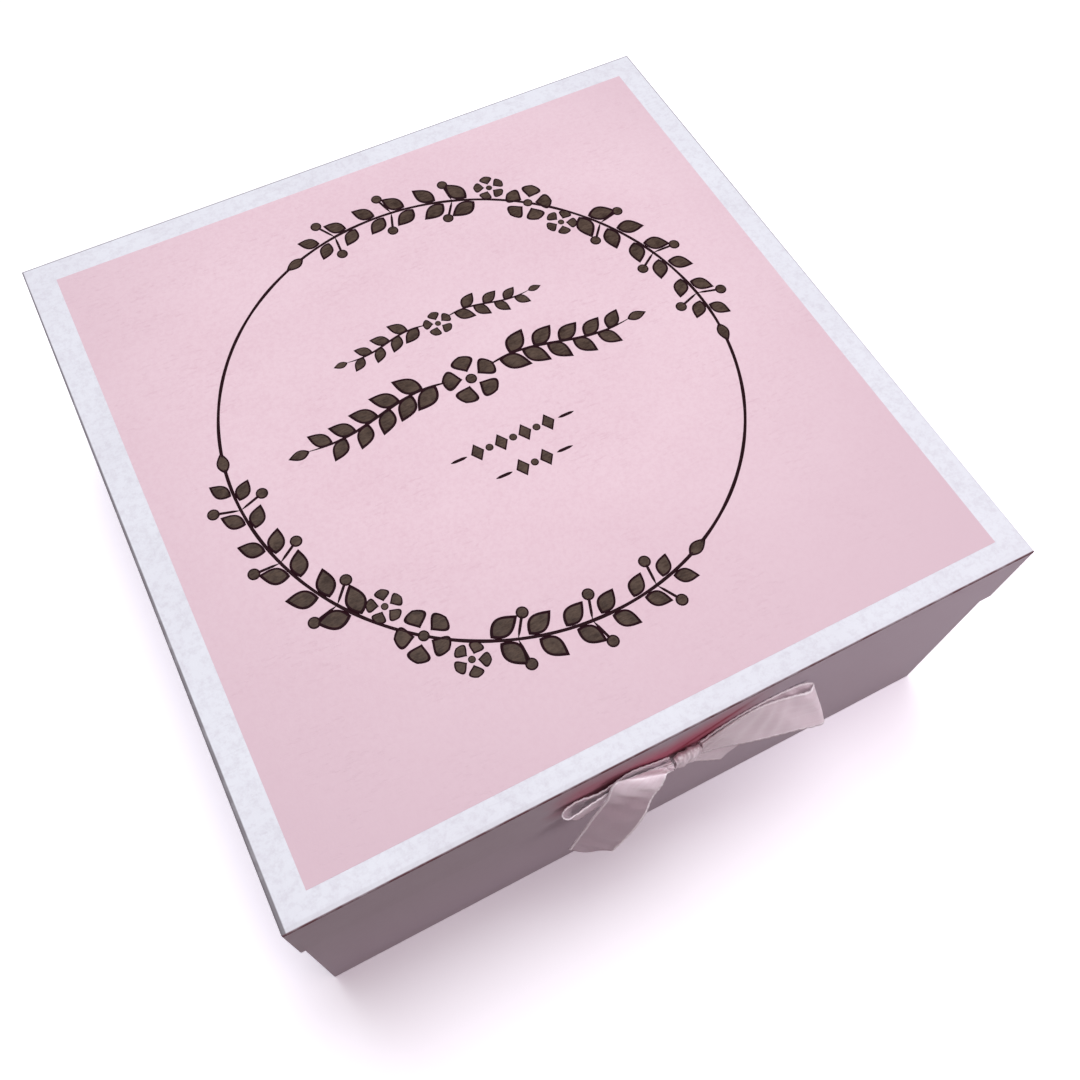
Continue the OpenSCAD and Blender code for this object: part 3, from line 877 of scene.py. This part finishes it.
def garland(bm, middle):
    """Leaves in pairs on the ring, away from three blossoms at the middle angle."""
    for way in (-1, 1):
        for i in range(GARLAND_PAIRS):
            angle = middle + way * (GARLAND_START + GARLAND_PITCH * i)
            size = 1 - 0.05 * i
            tangent = angle + 90 * way
            for side in (-1, 1):
                stalk = polar(angle + way * 0.9 * side, RING_R + side * 0.9)
                leaf(bm, stalk, tangent - side * way * LEAF_LEAN, LEAF_L * size, LEAF_W * size)
        tip = middle + way * (GARLAND_START + GARLAND_PITCH * GARLAND_PAIRS)
        leaf(bm, polar(tip - way, RING_R), tip + 90 * way, TIP_LEAF_L, TIP_LEAF_W)
        for i in range(GARLAND_PAIRS // 2):
            angle = middle + way * (BERRY_START + 2 * GARLAND_PITCH * i)
            for side in (-1, 1):
                foot = polar(angle, RING_R + side * 0.5)
                head = polar(angle + 1.6 * way, RING_R + side * BERRY_OUT)
                stroke(bm, [tuple(Vector(foot).lerp(Vector(head), k / 8)) for k in range(9)], STALK_W)
                berry(bm, head, BERRY_R)
    outer = polar(middle + SIDE_BLOSSOM_TURN, RING_R + SIDE_BLOSSOM_OUT)
    inner = polar(middle - SIDE_BLOSSOM_TURN, RING_R - SIDE_BLOSSOM_OUT)
    blossom(bm, polar(middle, RING_R), middle, BLOSSOM_R)
    blossom(bm, outer, middle + 30, SIDE_BLOSSOM_R)
    blossom(bm, inner, middle - 10, SIDE_BLOSSOM_R)


def spray(bm, at, way, reach, leaves, size, width):
    """A waving stem to one side with leaves by turns above and below it."""
    def stem(t):
        wave = 0.06 * reach * math.sin(math.pi * 1.7 * t) * (1 - 0.3 * t)
        return (at[0] + way * reach * t, at[1] + wave)
    stroke(bm, [stem(0.08 + 0.92 * i / 48) for i in range(49)], width)
    for i in range(leaves):
        t = 0.20 + 0.74 * i / leaves
        here, ahead = Vector(stem(t)), Vector(stem(t + 0.02))
        run = math.degrees(math.atan2(ahead.y - here.y, ahead.x - here.x))
        up = 1 if i % 2 else -1
        length = size * (1 - 0.3 * t)
        leaf(bm, tuple(here), run + way * up * SPRAY_LEAN, length, 0.60 * length)
    leaf(bm, stem(1.0), 0 if way > 0 else 180, 0.6 * size, 0.32 * size)


def lozenge_row(bm, at, count):
    """Lozenges in a row with a dot in each space and a dash at each end."""
    reach = (count - 1) / 2 * LOZENGE_PITCH
    for i in range(count):
        x = at[0] - reach + i * LOZENGE_PITCH
        stamp(bm, place_points(LOZENGE, (x, at[1])), (x, at[1]))
        if i < count - 1:
            berry(bm, (x + LOZENGE_PITCH / 2, at[1]), DOT_R)
    for way in (-1, 1):
        start = at[0] + way * (reach + DASH_OFF)
        stroke(bm, [(start + way * DASH_L * i / 12, at[1]) for i in range(13)], DASH_W)


def make_ornament():
    line = ink_material("ink_line", *INK_OF_LINES)
    fill = ink_material("ink_fill", *INK_OF_FILLS)

    def piece(name, draw):
        bm = bmesh.new()
        draw(bm)
        make_object(name, mesh_from(name, bm), [line, fill], "lid")

    def centre(bm):
        for way in (-1, 1):
            for at, reach, leaves, size, width, _ in SPRAYS:
                spray(bm, at, way, reach, leaves, size, width)
        for at, *_, radius in SPRAYS:
            blossom(bm, at, 90, radius)
        for at, count in LOZENGE_ROWS:
            lozenge_row(bm, at, count)

    piece("print_ring", lambda bm: stroke(bm, [polar(a, RING_R) for a in range(360)], closed=True))
    piece("print_garland_front", lambda bm: garland(bm, GARLAND_FRONT))
    piece("print_garland_back", lambda bm: garland(bm, GARLAND_BACK))
    piece("print_spray", centre)


# ---- Hinges -----------------------------------------------------------------

METAL_BEVEL = 0.12 * MM
BEVEL_ABOVE = 40


def soften_metal():
    """Softened edges on the plates, pins and screws, where they turn by more than some degrees."""
    for name, node in NODES.items():
        if "hinge" not in name:
            continue
        weld = node.modifiers.new("weld", "WELD")
        weld.merge_threshold = 0.001 * MM
        bevel = node.modifiers.new("bevel", "BEVEL")
        bevel.width = METAL_BEVEL
        bevel.segments = 2
        bevel.limit_method = "ANGLE"
        bevel.angle_limit = math.radians(BEVEL_ABOVE)


# ---- Floor, light and background --------------------------------------------

FLOOR_SIZE = 6.0
FLOOR_SEEN = (1.0, 1.0, 1.0)
FLOOR_BOUNCE = (0.19, 0.125, 0.13)
FLOOR_GLOW = (0.31, 0.292, 0.345)
FLOOR_SINKS = 0.05 * MM
MIRROR_SHARE = 0.8
AMBIENT = (0.16, 0.09, 0.105)

# Where the floor's glow gives way to a painted shadow before the box, and where it grows beside
# the box's left side, as painted light, and far from it.
BOX_FRONT_Y = -129 * MM
SHADE_AHEAD = (62 * MM, 6 * MM)
SHADE_RIGHT_X = (85 * MM, -5 * MM)
SHADE_LEFT_X = (-155 * MM, -125 * MM)
BESIDE_X = (-126 * MM, -132 * MM)
BESIDE_AHEAD = (10 * MM, -10 * MM)
FAR = (0.6, 1.8)
GLOW_OPEN = 1.18
GLOW_SHADED = 0.53
GLOW_BESIDE = 0.28
GLOW_FAR = 2.6

# Name, place, aim, size, watts and colour.
LAMPS = [
    ("key", (0.08, 0.85, 3.1), (0, 0, 0.1), 2.0, 70, (0.89, 0.985, 1.0)),
    ("overhead", (0.20, -0.16, 1.5), (0, 0, 0.1), 0.9, 6.8, (1.0, 0.94, 0.97)),
    ("fill", (0.38, -0.42, 0.25), (0.05, -0.13, 0.06), 0.3, 0.30, (1.0, 0.84, 0.90)),
    ("front", (0.25, -0.70, 0.20), (0.02, -0.13, 0.09), 0.35, 0.36, (1.0, 0.88, 0.96)),
]


def seen_directly(s):
    """1 for camera and glass rays, less for mirror rays, 0 for the light that falls on things."""
    path = s.add("LightPath").outputs
    seen = s.math("MAXIMUM", path["Is Camera Ray"], path["Is Transmission Ray"])
    return s.math("MAXIMUM", seen, s.times(path["Is Glossy Ray"], MIRROR_SHARE))


def floor_glow(s):
    """Strength of the floor's own light, by the place on the floor, with a painted shadow before the box
    and painted light beside it.
    """
    place = s.axes()
    ahead = s.minus(BOX_FRONT_Y, place["Y"])
    # Painted shadow on the floor before the box.
    shade = s.times(
        s.ramp(ahead, *SHADE_AHEAD),
        s.ramp(place["X"], *SHADE_RIGHT_X),
        s.ramp(place["X"], *SHADE_LEFT_X),
    )
    # Painted light on the floor beside the box's left side.
    beside = s.times(s.ramp(place["X"], *BESIDE_X), s.ramp(ahead, *BESIDE_AHEAD))
    away = s.add("VectorMath", {0: s.coordinates()}, operation="LENGTH").outputs["Value"]
    glow = s.plus(s.ramp(shade, 0, 1, GLOW_OPEN, GLOW_SHADED), s.times(beside, GLOW_BESIDE))
    return s.plus(glow, s.ramp(away, *FAR, 0.0, GLOW_FAR))


def make_floor():
    mesh = bpy.data.meshes.new("floor")
    half = FLOOR_SIZE / 2
    corners = [(-half, -half, 0), (half, -half, 0), (half, half, 0), (-half, half, 0)]
    mesh.from_pydata(corners, [], [(0, 1, 2, 3)])
    floor = bpy.data.objects.new("floor", mesh)
    floor.location.z = -FLOOR_SINKS
    bpy.context.scene.collection.objects.link(floor)
    material, s = new_material("floor")
    seen = seen_directly(s)
    matt = s.add("BsdfDiffuse", {"Color": s.mix(seen, FLOOR_BOUNCE, FLOOR_SEEN)}).outputs[0]
    glow = {"Color": (*FLOOR_GLOW, 1), "Strength": s.times(seen, floor_glow(s))}
    s.output(s.add("AddShader", {0: matt, 1: s.add("Emission", glow).outputs[0]}).outputs[0])
    mesh.materials.append(material)


def make_world():
    world = bpy.data.worlds.new("studio")
    world.use_nodes = True
    bpy.context.scene.world = world
    s = Shader(world.node_tree)
    light = s.add("Background", {"Color": (*AMBIENT, 1), "Strength": 1.0}).outputs[0]
    white = s.add("Background", {"Color": (1, 1, 1, 1), "Strength": 1.0}).outputs[0]
    mixed = s.add("MixShader", {0: seen_directly(s), 1: light, 2: white}).outputs[0]
    s.add("OutputWorld", {"Surface": mixed})


def make_lamps():
    for name, at, aim, size, watts, colour in LAMPS:
        data = bpy.data.lights.new(name, "AREA")
        data.shape = "SQUARE"
        data.size = size
        data.energy = watts
        data.color = colour
        lamp = bpy.data.objects.new(name, data)
        lamp.location = at
        lamp.rotation_euler = (Vector(aim) - Vector(at)).to_track_quat("-Z", "Y").to_euler()
        lamp.visible_camera = False
        bpy.context.scene.collection.objects.link(lamp)


make_camera()
dress_cad_nodes()
soften_metal()
make_bow()
make_ornament()
make_floor()
make_world()
make_lamps()

bpy.context.scene.view_settings.view_transform = "Standard"
